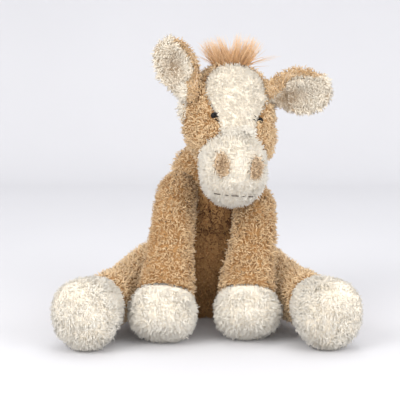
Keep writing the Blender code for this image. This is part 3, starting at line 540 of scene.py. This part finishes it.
# How each tuft leans: a slowly turning field lays neighbours together in curls, with partings
def leanField(roots, outs, look):
    spots = [Vector(root) / look["curlSize"] for root in roots]
    field = np.array([noise.noise_vector(spot)[:] for spot in spots]) * look["swirl"]
    return field - outs * (field * outs).sum(1)[:, None]


# Puts a clump on each root, turned at random and leaning, tips kept off the floor
def plantPile(name, roots, outs, lengths, shades, look, material, lean=(0, 0, 0)):
    shapes, along, faces = look["tufts"]
    count = len(roots)
    ups = outs + rng.normal(0, look["mess"], (count, 3)) + leanField(roots, outs, look) + np.array(lean)
    ups /= np.linalg.norm(ups, axis=1)[:, None]
    sides = np.cross(ups, rng.normal(0, 1, (count, 3)))
    sides /= np.linalg.norm(sides, axis=1)[:, None]
    overs = np.cross(ups, sides)
    which = rng.integers(0, len(shapes), count)
    size = len(along)
    points = np.zeros((count, size, 3))
    for number, shape in enumerate(shapes):
        mine = which == number
        scaled = shape[None] * lengths[mine][:, None, None]
        points[mine] = (
            roots[mine][:, None]
            + scaled[:, :, 0:1] * sides[mine][:, None]
            + scaled[:, :, 1:2] * overs[mine][:, None]
            + scaled[:, :, 2:3] * ups[mine][:, None]
        )
    points[:, :, 2] = np.maximum(points[:, :, 2], 0.0003 + along * 0.0004)
    allFaces = (faces[None] + (np.arange(count) * size)[:, None, None]).reshape(-1, 3)
    uvs = np.zeros((count, len(faces), 3, 2))
    uvs[..., 0] = shades[:, None, None]
    uvs[..., 1] = along[faces][None]
    pile = meshFrom(name, points.reshape(-1, 3), allFaces, uvs.reshape(-1, 2), material)
    own = np.zeros(count * size * 3, np.float32)  # shaded partly as the cloth below, which softens the relief
    pile.data.vertex_normals.foreach_get("vector", own)
    normals = own.reshape(count, size, 3) * (1 - look["soft"]) + outs[:, None] * look["soft"]
    normals /= np.linalg.norm(normals, axis=2)[:, :, None] + 1e-9
    pile.data.normals_split_custom_set_from_vertices(normals.reshape(-1, 3).tolist())
    return pile


tanLook = {
    "spacing": 0.00175, "length": 0.0060, "strands": 1, "rings": 4, "spread": 0.35, "turns": 0.85,
    "curl": 0.17, "thick": 0.110, "taper": 0.50, "base": 0.0, "sink": 0.15, "mess": 0.17,
    "swirl": 1.9, "curlSize": 0.0080, "soft": 0.35, "material": tanPile, "slot": "tan_pile",
}
creamLook = {
    "spacing": 0.00185, "length": 0.0044, "strands": 2, "rings": 3, "spread": 0.26, "turns": 0.55,
    "curl": 0.17, "thick": 0.145, "taper": 0.50, "base": 0.09, "sink": 0.18, "mess": 0.15,
    "swirl": 1.3, "curlSize": 0.0085, "soft": 0.9, "material": creamPile, "slot": "cream_pile",
}
tanLook["tufts"] = makeTufts(tanLook)
creamLook["tufts"] = makeTufts(creamLook)
looks = {
    "tan": tanLook,
    "cream": creamLook,
    "hoof": dict(creamLook, length=0.0050, swirl=2.0, mess=0.22, soft=1.0),
    "lining": dict(creamLook, mess=0.34, swirl=1.9, soft=0.45),
}

everyTree = makeTree(list(cloths.values()))
creamPair = ("blaze", "muzzle_skin")  # their pile runs together over the seam
besideCream = makeTree([cloth for name, cloth in cloths.items() if name not in creamPair])


# Roots on a panel's outer side that no other panel covers
def rootsOn(node, spacing, faceWay=None):
    corners, normals = outerFacets(cloths[node])
    roots, outs = spreadPoints(corners, normals, spacing)
    if node.startswith("ear_lining"):
        free = outs @ faceWay > 0.2
        return roots[free], outs[free]
    cover, reach = everyTree, 0.0012
    if node in creamPair:
        cover = besideCream
    if node.startswith("ear_back"):
        cover, reach = makeTree([cloths[node.replace("back", "lining")]]), 0.004
    free = []
    for i in range(len(roots)):
        root, out = Vector(roots[i]), Vector(outs[i])
        hit = cover.ray_cast(root + out * 0.0001, out, reach)
        free.append(hit[0] is None and root.z > 0.0006)
    return roots[free], outs[free]


# Distance from each root to the nearest of some panels
def distanceTo(nodeNames, roots):
    tree = makeTree([cloths[name] for name in nodeNames])
    return np.array([tree.find_nearest(Vector(root))[3] for root in roots])


def smooth(values, low, high):
    t = np.clip((values - low) / (high - low), 0, 1)
    return t * t * (3 - 2 * t)


eyes = {"clear": 0.0030, "short": 0.0062, "places": {}}
for side in ("left", "right"):
    low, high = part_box("eye_" + side)
    eyes["places"][side] = (low + high) / 2
# Way of the turned rim; in the view, a line past which the back shows its lining, and the hollow darkened
# with painted shade
ears = {
    "left": {"turned": (0.15, 0, -1.0), "line": (1, 1, 371), "hollow": (287, 96, 13, 9)},
    "right": {"turned": (-1.0, 0, -0.15), "line": (-1, 0, -187), "hollow": (174, 68, 9, 12)},
}
seams = {
    "muzzle_skin": (["blaze"], 0.005, 1.35),
    "blaze": (["muzzle_skin"], 0.005, 1.35),
    "head_side_left": (["blaze", "muzzle_skin"], 0.003, 0.8),
    "head_side_right": (["blaze", "muzzle_skin"], 0.003, 0.8),
}
for side in ("left", "right"):
    for leg in ("front_leg_", "hind_leg_"):
        seams[leg + side + "_hoof"] = ([leg + side + "_sleeve"], 0.014, 0.45)
shortness = {"nostril": 0.95, "blaze": 0.90, "muzzle": 1.0, "ear_back": 0.80, "ear_lining": 1.25}
# Painted light and shade per piece: pieces that the lamps light strongly, such as the blaze, are darkened,
# and pieces they light weakly, such as the hooves and the thighs, are lightened
paintedLightTones = {
    "blaze": -0.30, "muzzle": 0.05, "head_side": 0.32, "nostril": 0.05, "torso": 0.10, "neck": -0.10,
    "front_leg_left_sleeve": -0.05, "front_leg_right_sleeve": -0.10, "hind_leg_left_sleeve": 0.60,
    "hind_leg_right_sleeve": 0.70, "front_leg_left_hoof": 0.25, "front_leg_right_hoof": 0.30,
    "hind_leg_left_hoof": 0.15, "hind_leg_right_hoof": 0.25,
}
# Sides where the pile is brushed flat: piece, direction of the side, share of the length
flats = [
    ("front_leg_right_sleeve", (-1, 0, 0), 0.65),
    ("hind_leg_left_hoof", (0.8, 0, 0.6), 0.5), ("hind_leg_right_hoof", (-0.7, 0, 0.7), 0.6),
    ("ear_back_left", (0.2, 0, -1), 0.5),
]

# Tufts over the seam of blaze and muzzle, placed in the view
seamTufts = {
    "count": 640, "from": 219, "to": 257, "height": 132, "turn": 240, "rise": 5, "reach": 4.0,
    "out": 0.5, "apart": 0.16,
}
# The end of the right ear's lining, sewn down over the head side, in the view
liningEnd = {"edge": 190, "slope": 0.10, "from": 88, "top": 84, "foot": 118, "shade": 0.85, "longer": 1.35}
# The chest and belly between the front legs, with painted shade in a crease and a painted shadow under the
# chin
chestPart = {"middle": 0.0125, "half": 0.031, "top": 0.130}
creaseShade = {"height": 0.090, "spread": 0.005, "dark": 0.5}
chinShadow = {"x": 0.020, "z": 0.104, "wide": 0.009, "high": 0.010, "dark": 0.6}
bodySpacing = 1.12  # sparser on body and neck, which keeps each piece under the facet limit
fineSpacing = 0.0014  # ears and nostrils
undersideTone = 0.3  # cream pile is lighter below, where less light reaches
planted = 0
for skin in skins:
    node = skin["node"]
    kind = "lining" if node.startswith("ear_lining") else "hoof" if node.endswith("hoof") else skin["look"]
    look = looks[kind]
    spacing = look["spacing"]
    if node in ("torso_skin", "neck_skin"):
        spacing *= bodySpacing
    if node.startswith(("ear", "nostril")):
        spacing = fineSpacing
    faceWay = None
    if node.startswith("ear"):
        side = node.split("_")[-1]
        ear = ears[side]
        liningMesh = cloths["ear_lining_" + side].data
        ahead = [p.normal * p.area for p in liningMesh.polygons if p.normal.y < -0.3]
        faceWay = np.array(sum(ahead, Vector()).normalized())
        middle = np.array(sum(((v.co for v in liningMesh.vertices)), Vector()) / len(liningMesh.vertices))
    roots, outs = rootsOn(node, spacing, faceWay)
    if node.startswith("nostril"):
        roots = roots + rng.normal(0, 0.0009, roots.shape)
    if node == "muzzle_skin":  # more tufts over the seam to the blaze
        creamTree = makeTree([cloths[name] for name in creamPair])
        for i in range(seamTufts["count"]):
            x = rng.uniform(seamTufts["from"], seamTufts["to"])
            off = rng.uniform(-seamTufts["reach"], seamTufts["reach"])
            bend = max(0, (x - seamTufts["turn"]) / (seamTufts["to"] - seamTufts["turn"])) ** 2
            y = seamTufts["height"] + seamTufts["rise"] * bend + off
            point, normal = seenAt(x, y, creamTree)
            if point and normal.dot(back) > 0:
                out = normal + back * seamTufts["out"] + Vector((0, 0, seamTufts["apart"] * off))
                roots = np.vstack([roots, point[:]])
                outs = np.vstack([outs, out.normalized()[:]])
    if node.startswith("ear"):
        backRoots, backOuts = roots, outs
        if node.startswith("ear_lining"):
            backRoots, backOuts = rootsOn("ear_back_" + side, spacing)
        rim = (backOuts @ faceWay > -0.4) | (backOuts @ np.array(back) > -0.7)
        turned = rim & ((backRoots - middle) @ np.array(ear["turned"]) > 0.0)
        x, y = viewOf(backRoots)
        a, b, limit = ear["line"]
        turned |= (backOuts @ np.array(back) > -0.45) & (a * x + b * y > limit) & (y > 76)
        if node.startswith("ear_back"):
            roots, outs = roots[~turned], outs[~turned]
        else:
            roots = np.vstack([roots, backRoots[turned]])
            outs = np.vstack([outs, backOuts[turned]])
        outs = outs + faceWay * (0.5 * smooth(outs @ faceWay, -0.1, 0.5))[:, None]
        outs /= np.linalg.norm(outs, axis=1)[:, None]
    spots = [Vector(root) for root in roots]
    mottle = np.array([noise.noise(spot * 330) * 0.45 + noise.noise(spot * 90) * 0.4 for spot in spots])
    shades = 0.5 + mottle + rng.normal(0, 0.22, len(roots))
    lengths = look["length"] * rng.uniform(0.78, 1.18, len(roots))
    lengths *= 1 + 0.3 * np.array([noise.noise(spot * 150 + Vector((5, 5, 5))) for spot in spots])
    for start, factor in shortness.items():
        if node.startswith(start):
            lengths *= factor
    # painted light and shade per piece
    for start, paintedTone in paintedLightTones.items():
        if node.startswith(start):
            shades += paintedTone
    for name, way, least in flats:
        if node == name:
            lengths *= 1 - (1 - least) * smooth(outs @ np.array(way), 0.2, 0.8)
    if node in seams:
        others, reach, least = seams[node]
        lengths *= least + (1 - least) * smooth(distanceTo(others, roots), 0, reach)
    if skin["body"] == "head":
        for place in eyes["places"].values():
            away = np.linalg.norm(roots - np.array(place), axis=1)
            keep = away > eyes["clear"]
            roots, outs, away = roots[keep], outs[keep], away[keep]
            shades, lengths = shades[keep], lengths[keep]
            lengths *= 0.45 + 0.55 * smooth(away, eyes["clear"], eyes["short"])
    if node.startswith("nostril"):
        low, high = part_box(node)
        shades = shades * 0.5 + 0.5 * (roots[:, 2] - low.z) / (high.z - low.z)
        across = (roots - np.array((low + high) / 2)) / np.array((high - low) / 2)
        edge = np.hypot(across[:, 0], across[:, 2])
        shades = shades * 0.7 + 0.55 * smooth(edge, 0.45, 1.0) - 0.10
        keep = edge < 0.92 + rng.normal(0, 0.12, len(roots))
        roots, outs, shades, lengths = roots[keep], outs[keep], shades[keep], lengths[keep]
    if node.startswith("ear_lining"):
        x, y = viewOf(roots)
        hollow = ear["hollow"]
        # painted shade in the lining's hollow: its tufts darker, and shorter
        hollowShade = np.exp(-((x - hollow[0]) / hollow[2]) ** 2 - ((y - hollow[1]) / hollow[3]) ** 2)
        shades = shades * 0.4 + 0.62 - 0.90 * hollowShade
        lengths *= 1 - 0.45 * hollowShade
    if skin["look"] == "cream" and kind != "lining":
        shades -= undersideTone * outs[:, 2]
    shades = np.clip(shades, 0.01, 0.99)
    material = look["material"]
    if node.startswith("ear_lining"):
        material = liningPile
    if node.startswith("nostril"):
        material = nostrilPile
    parts = {"_pile": np.full(len(roots), True)}
    if node == "torso_skin":
        inside = abs(roots[:, 0] - chestPart["middle"]) < chestPart["half"]
        chest = (outs[:, 1] < -0.3) & inside & (roots[:, 2] < chestPart["top"])
        # Painted shade: darker in the crease between chest and belly and in a shadow under the chin
        creaseShadeWeight = np.exp(-((roots[chest, 2] - creaseShade["height"]) / creaseShade["spread"]) ** 2)
        aside = (roots[chest, 0] - chinShadow["x"]) / chinShadow["wide"]
        above = (roots[chest, 2] - chinShadow["z"]) / chinShadow["high"]
        shades[chest] -= creaseShade["dark"] * creaseShadeWeight + chinShadow["dark"] * np.exp(-aside ** 2 - above ** 2)
        # painted shade: darker upwards, under the chin and the muzzle
        shades[chest] += 0.15 - 0.35 * smooth(roots[chest, 2], 0.075, 0.105)
        front = roots[:, 1] < 0
        parts = {"_chest_pile": chest, "_pile_front": front & ~chest, "_pile_back": ~front & ~chest}
    if node == "head_side_right":
        x, y = viewOf(roots)
        strip = (x < liningEnd["edge"] - liningEnd["slope"] * (y - liningEnd["from"])) & (outs[:, 1] < 0.35)
        strip &= (y > liningEnd["top"]) & (y < liningEnd["foot"])
        shades[strip] = liningEnd["shade"]
        lengths[strip] *= liningEnd["longer"]
        parts = {"_pile": ~strip, "_lining_end_pile": strip}
    for ending, part in parts.items():
        fibres = material
        if ending.startswith("_lining"):
            fibres = liningPile
        if ending.startswith("_chest"):  # painted shade, far in between the legs
            fibres = chestPile
        pile = plantPile(
            node + ending, roots[part], outs[part], lengths[part], shades[part], look, fibres,
            (0, 0, -0.4 if node.endswith(("sleeve", "hoof")) or node == "torso_skin" else -0.15),
        )
        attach(pile, skin["body"])
        planted += int(part.sum())
        print("pile", node + ending, int(part.sum()), len(pile.data.polygons))
print("tufts", planted)


# Eyes

beadMaterial, beadShader = newMaterial("beadBlack", 0.18, (0.003, 0.003, 0.004))
beadShader.inputs["Specular IOR Level"].default_value = 0.2
plasticMaterial, plasticShader = newMaterial("washerPlastic", 0.4, (0.75, 0.75, 0.72))
beadScale = 1.05
eyeStrands = {
    "eyes": {}, "ways": {"left": (-1.0, -0.75, 0.35), "right": (1.0, -1.35, 0.05)},
    "length": 0.0066, "thick": 0.00085, "proud": 0.0012, "apart": 0.0035,
}
for side in ("left", "right"):
    eye = pieceFrom("eye_" + side, "eye_bead_" + side, beadMaterial, 2)
    for point in eye.data.vertices:
        point.co = eyes["places"][side] + (point.co - eyes["places"][side]) * beadScale
    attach(eye, "head")
    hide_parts("eye_" + side)
    eyeStrands["eyes"][side] = eye
    washer = nodes["eye_washer_" + side]
    washer.data.materials.clear()
    washer.data.materials.append(plasticMaterial)


# Long hair

# Long three-sided strands through given points, drawn to a tip.
def strandMesh(name, paths, thick, shades, material):
    points, faces, uvs = [], [], []
    for path, shade in zip(paths, shades):
        start = len(points)
        steps = len(path) - 1
        for step in range(steps):
            ahead = (path[step + 1] - path[max(step - 1, 0)]).normalized()
            side = ahead.orthogonal().normalized()
            over = ahead.cross(side)
            wide = thick * (1 - 0.75 * step / steps)
            for corner in range(3):
                angle = 2 * math.pi * corner / 3
                points.append(path[step] + (side * math.cos(angle) + over * math.sin(angle)) * wide)
        points.append(path[-1])
        for step in range(steps - 1):
            for corner in range(3):
                i = start + step * 3 + corner
                j = start + step * 3 + (corner + 1) % 3
                faces += [(i, j, j + 3), (i, j + 3, i + 3)]
                low, high = step / steps, (step + 1) / steps
                uvs += [(shade, low), (shade, low), (shade, high), (shade, low), (shade, high), (shade, high)]
        last = start + (steps - 1) * 3
        for corner in range(3):
            faces.append((last + corner, last + (corner + 1) % 3, len(points) - 1))
            uvs += [(shade, 1 - 1 / steps), (shade, 1 - 1 / steps), (shade, 1)]
        faces.append((start + 2, start + 1, start))
        uvs += [(shade, 0)] * 3
    return meshFrom(name, np.array([p[:] for p in points]), np.array(faces), np.array(uvs), material)


# One strand's points: it leaves along a direction, falls and waves.
def lock(start, leave, length, steps, fall, wave):
    path = [Vector(start)]
    heading = Vector(leave).normalized()
    phase = rng.random() * 2 * math.pi
    for step in range(steps):
        t = (step + 1) / steps
        heading = (heading + Vector((0, 0, -fall)) / steps).normalized()
        sway = Vector((math.cos(phase + 5 * t), math.sin(phase + 4 * t), 0)) * wave
        path.append(path[-1] + (heading + sway).normalized() * length / steps)
    return path


# Three short dark strands leave each bead towards the nose
for side, eye in eyeStrands["eyes"].items():
    paths = []
    low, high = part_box("eye_" + side)
    way = Vector(eyeStrands["ways"][side])
    for lift in (-0.6, 0.05, 0.6):
        place = eyes["places"][side]
        root = Vector((place.x, low.y - eyeStrands["proud"], place.z + lift * eyeStrands["apart"]))
        paths.append(lock(root, way + Vector((0, 0, lift)), eyeStrands["length"], 3, 0.1, 0.05))
    made = strandMesh("eye_lashes_" + side, paths, eyeStrands["thick"], [0.5] * len(paths), beadMaterial)
    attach(made, "head")

low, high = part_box("forelock")
forelock = {"thick": 0.00030, "rise": 0.0015}
middle = Vector(((low.x + high.x) / 2 - 0.004, (low.y + high.y) / 2 + 0.001, low.z))
bunches = [  # strands, middle and half width of the roots, direction, length, spread
    {"strands": 260, "at": -0.0065, "half": 0.0085, "way": (-0.52, -0.10, 1.0),
     "length": 0.0300, "spread": 0.12},
    {"strands": 260, "at": 0.0065, "half": 0.0085, "way": (0.36, -0.10, 1.0),
     "length": 0.0300, "spread": 0.12},
    {"strands": 260, "at": 0.0, "half": 0.010, "way": (0.0, -0.20, 1.0),
     "length": 0.0175, "spread": 0.22},
    {"strands": 10, "at": 0.010, "half": 0.004, "way": (1.0, -0.10, 0.38),
     "length": 0.0360, "spread": 0.07},
    {"strands": 10, "at": 0.004, "half": 0.006, "way": (0.15, -0.10, 1.0),
     "length": 0.0280, "spread": 0.10},
    {"strands": 10, "at": -0.010, "half": 0.004, "way": (-0.90, -0.10, 0.70),
     "length": 0.0260, "spread": 0.08},
]
paths = []
for bunch in bunches:
    for i in range(bunch["strands"]):
        across = rng.uniform(-1, 1)
        root = middle + Vector((bunch["at"] + across * bunch["half"], rng.uniform(-0.006, 0.006), 0))
        root.z += forelock["rise"] - 14 * (root.x - middle.x) ** 2
        leave = Vector(bunch["way"]) + Vector(rng.normal(0, bunch["spread"], 3))
        leave += Vector((across * 0.12, 0, 0))
        size = bunch["length"] * rng.uniform(0.6, 1.12)
        paths.append(lock(root, leave, size, 6, 0.2, 0.14))
strandShades = rng.uniform(0.0, 0.85, len(paths))
hair = strandMesh("forelock_hair", paths, forelock["thick"], strandShades, hairStrands)
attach(hair, "head")
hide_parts("forelock")


# Strands all over a CAD lock's own form, laid along a direction.
def coverWithHair(node, name, body, count, length, thick, along):
    core = pieceFrom(node, name + "_core", hairStrands)
    corners, normals = outerFacets(core)
    edgeA = corners[:, 1] - corners[:, 0]
    edgeB = corners[:, 2] - corners[:, 0]
    areas = np.linalg.norm(np.cross(edgeA, edgeB), axis=1)
    pick = rng.choice(len(areas), count, p=areas / areas.sum())
    paths = []
    for i in pick:
        root = Vector(corners[i].mean(0))
        out = Vector(normals[i].mean(0)).normalized()
        flow = Vector(along(root)) - out * Vector(along(root)).dot(out)
        size = length * rng.uniform(0.6, 1.1)
        path = lock(root - out * 0.0006, flow.normalized() + out * 0.35, size, 5, 0.5, 0.1)
        paths.append([Vector((p.x, p.y, max(p.z, 0.0006))) for p in path])
    made = strandMesh(name, paths, thick, rng.uniform(0.05, 0.95, len(paths)), hairStrands)
    layer = core.data.uv_layers.get("OFBake") or core.data.uv_layers.new(name="OFBake")
    layer.data.foreach_set("uv", np.tile([0.3, 0.25], len(core.data.loops)).astype(np.float32))
    for piece in (core, made):
        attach(piece, body)
    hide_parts(node)
    return made


coverWithHair("mane", "mane_hair", "head", 520, 0.016, 0.00035, lambda p: (0, 0.6, -0.8))
coverWithHair("tail", "tail_hair", "tail", 620, 0.028, 0.0004, lambda p: (0, 0.35, -0.9))


# Mouth: broken stitches of dark thread

threadMaterial, threadShader = newMaterial("darkThread", 0.7, (0.035, 0.022, 0.016))
muzzleTree = makeTree([cloths["muzzle_skin"]])
mouth = {  # stitches and the line's height in the view
    "dashes": ((216, 221.5), (226, 228.5), (231.5, 238), (242, 243.5), (247, 252.5)),
    "height": 191.0, "drop": 2.8, "from": 215, "width": 38, "thick": 0.00042, "lift": 0.0036,
}
bm = bmesh.new()
for first, last in mouth["dashes"]:
    ends = []
    for i in range(4):
        x = first + (last - first) * i / 3
        sweepAngle = (x - mouth["from"]) / mouth["width"] * math.pi / 2
        y = mouth["height"] + mouth["drop"] * math.sin(sweepAngle)
        point, normal = seenAt(x, y, muzzleTree)
        if point:
            ends.append(point + normal * mouth["lift"])
    for start, end in zip(ends, ends[1:]):
        turn = (end - start).to_track_quat("Z", "Y").to_matrix().to_4x4()
        place = Matrix.Translation((start + end) / 2) @ turn
        bmesh.ops.create_cone(
            bm, cap_ends=True, segments=6, radius1=mouth["thick"], radius2=mouth["thick"],
            depth=(end - start).length, matrix=place,
        )
stitchMesh = bpy.data.meshes.new("mouth_stitches")
bm.to_mesh(stitchMesh)
bm.free()
stitchMesh.materials.append(threadMaterial)
stitches = bpy.data.objects.new("mouth_stitches", stitchMesh)
bpy.context.scene.collection.objects.link(stitches)
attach(stitches, "head")
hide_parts("mouth_stitch")

meshes = [made.data for made in bpy.data.objects if made.type == "MESH"]
triangles = sum(len(mesh.loop_triangles) or len(mesh.polygons) for mesh in meshes)
print("facets in all", triangles)
